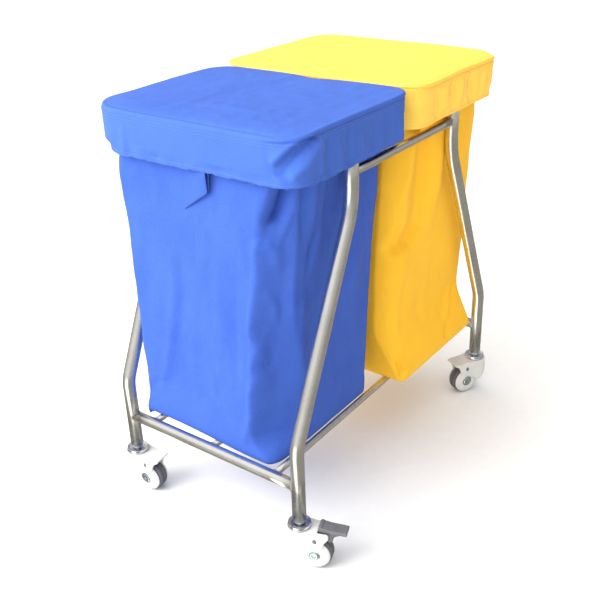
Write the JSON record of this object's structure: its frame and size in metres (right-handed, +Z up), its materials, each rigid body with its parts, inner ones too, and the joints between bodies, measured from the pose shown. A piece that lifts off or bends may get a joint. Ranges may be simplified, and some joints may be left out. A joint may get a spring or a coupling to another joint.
{
  "type": "linen trolley",
  "caption": "Bent-tube steel trolley on braked swivel castors, with hanging fabric bags on hoops and lift-off fabric covers, for sorting linen.",
  "frame": {"origin": "on the floor, under the middle of the frame", "axes": "+X to the right across the trolley, +Y from the blue bag to the yellow bag, +Z up"},
  "size_m": [0.6908, 0.894, 0.943],
  "materials": {
    "steel": "bright brushed stainless tube",
    "zinc": "bright zinc plate",
    "nylon": "satin moulded nylon",
    "tyre": "matt grey rubber",
    "pedal_grey": "satin moulded nylon",
    "blue_cloth": "coated woven polyester",
    "yellow_cloth": "coated woven polyester",
    "board": "plain sheet"
  },
  "bodies": {
    "frame": {"leg_front_left": "steel", "leg_front_right": "steel", "leg_rear_left": "steel", "leg_rear_right": "steel", "top_rail_left": "steel", "top_rail_right": "steel", "base_rail_front": "steel", "base_rail_rear": "steel", "base_bar_left": "steel", "base_bar_middle": "steel", "base_bar_right": "steel", "hoop_front": "steel", "hoop_rear": "steel", "castor_front_left_stem": "zinc", "castor_front_left_cup": "zinc", "castor_front_left_race": "zinc", "castor_front_right_stem": "zinc", "castor_front_right_cup": "zinc", "castor_front_right_race": "zinc", "castor_rear_left_stem": "zinc", "castor_rear_left_cup": "zinc", "castor_rear_left_race": "zinc", "castor_rear_right_stem": "zinc", "castor_rear_right_cup": "zinc", "castor_rear_right_race": "zinc"},
    "castor_front_left": {"castor_front_left_fork": "nylon", "castor_front_left_axle": "zinc", "castor_front_left_cross_pin": "pedal_grey"},
    "wheel_front_left": {"castor_front_left_hub": "nylon", "castor_front_left_tyre": "tyre"},
    "castor_front_right": {"castor_front_right_fork": "nylon", "castor_front_right_axle": "zinc", "castor_front_right_cross_pin": "pedal_grey", "castor_front_right_pedal_pin": "zinc"},
    "wheel_front_right": {"castor_front_right_hub": "nylon", "castor_front_right_tyre": "tyre"},
    "pedal_front_right": {"castor_front_right_pedal": "pedal_grey"},
    "castor_rear_left": {"castor_rear_left_fork": "nylon", "castor_rear_left_axle": "zinc", "castor_rear_left_cross_pin": "pedal_grey", "castor_rear_left_pedal_pin": "zinc"},
    "wheel_rear_left": {"castor_rear_left_hub": "nylon", "castor_rear_left_tyre": "tyre"},
    "pedal_rear_left": {"castor_rear_left_pedal": "pedal_grey"},
    "castor_rear_right": {"castor_rear_right_fork": "nylon", "castor_rear_right_axle": "zinc", "castor_rear_right_cross_pin": "pedal_grey"},
    "wheel_rear_right": {"castor_rear_right_hub": "nylon", "castor_rear_right_tyre": "tyre"},
    "bag_front": {"bag_front": "blue_cloth", "bag_loop_front": "blue_cloth"},
    "cover_front": {"cover_front": "blue_cloth", "lid_board_front": "board"},
    "bag_rear": {"bag_rear": "yellow_cloth", "bag_loop_rear": "yellow_cloth"},
    "cover_rear": {"cover_rear": "yellow_cloth", "lid_board_rear": "board"}
  },
  "joints": [
    {"name": "swivel_front_left", "type": "hinge", "parent": "frame", "child": "castor_front_left", "pos_m": [-0.241, -0.417, 0.09], "axis": [0, 0, 1], "continuous": true},
    {"name": "roll_front_left", "type": "hinge", "parent": "castor_front_left", "child": "wheel_front_left", "pos_m": [-0.20514, -0.41386, 0.0375], "axis": [-0.0872, 0.9962, 0], "continuous": true},
    {"name": "swivel_front_right", "type": "hinge", "parent": "frame", "child": "castor_front_right", "pos_m": [0.241, -0.417, 0.09], "axis": [0, 0, 1], "continuous": true},
    {"name": "roll_front_right", "type": "hinge", "parent": "castor_front_right", "child": "wheel_front_right", "pos_m": [0.27483, -0.40469, 0.0375], "axis": [-0.342, 0.9397, 0], "continuous": true},
    {"name": "brake_front_right", "type": "hinge", "parent": "castor_front_right", "child": "pedal_front_right", "pos_m": [0.28986, -0.39921, 0.087], "axis": [-0.342, 0.9397, 0], "range_deg": [0, 14]},
    {"name": "swivel_rear_left", "type": "hinge", "parent": "frame", "child": "castor_rear_left", "pos_m": [-0.241, 0.417, 0.09], "axis": [0, 0, 1], "continuous": true},
    {"name": "roll_rear_left", "type": "hinge", "parent": "castor_rear_left", "child": "wheel_rear_left", "pos_m": [-0.27483, 0.40469, 0.0375], "axis": [0.342, -0.9397, 0], "continuous": true},
    {"name": "brake_rear_left", "type": "hinge", "parent": "castor_rear_left", "child": "pedal_rear_left", "pos_m": [-0.28986, 0.39921, 0.087], "axis": [0.342, -0.9397, 0], "range_deg": [0, 14]},
    {"name": "swivel_rear_right", "type": "hinge", "parent": "frame", "child": "castor_rear_right", "pos_m": [0.241, 0.417, 0.09], "axis": [0, 0, 1], "continuous": true},
    {"name": "roll_rear_right", "type": "hinge", "parent": "castor_rear_right", "child": "wheel_rear_right", "pos_m": [0.2241, 0.38521, 0.0375], "axis": [0.8829, -0.4695, 0], "continuous": true},
    {"name": "bag_lift_front", "type": "slide", "parent": "frame", "child": "bag_front", "axis": [0, 0, 1], "range_m": [0, 0.6]},
    {"name": "cover_lift_front", "type": "slide", "parent": "bag_front", "child": "cover_front", "axis": [0, 0, 1], "range_m": [0, 0.25]},
    {"name": "bag_lift_rear", "type": "slide", "parent": "frame", "child": "bag_rear", "axis": [0, 0, 1], "range_m": [0, 0.6]},
    {"name": "cover_lift_rear", "type": "slide", "parent": "bag_rear", "child": "cover_rear", "axis": [0, 0, 1], "range_m": [0, 0.25]}
  ]
}
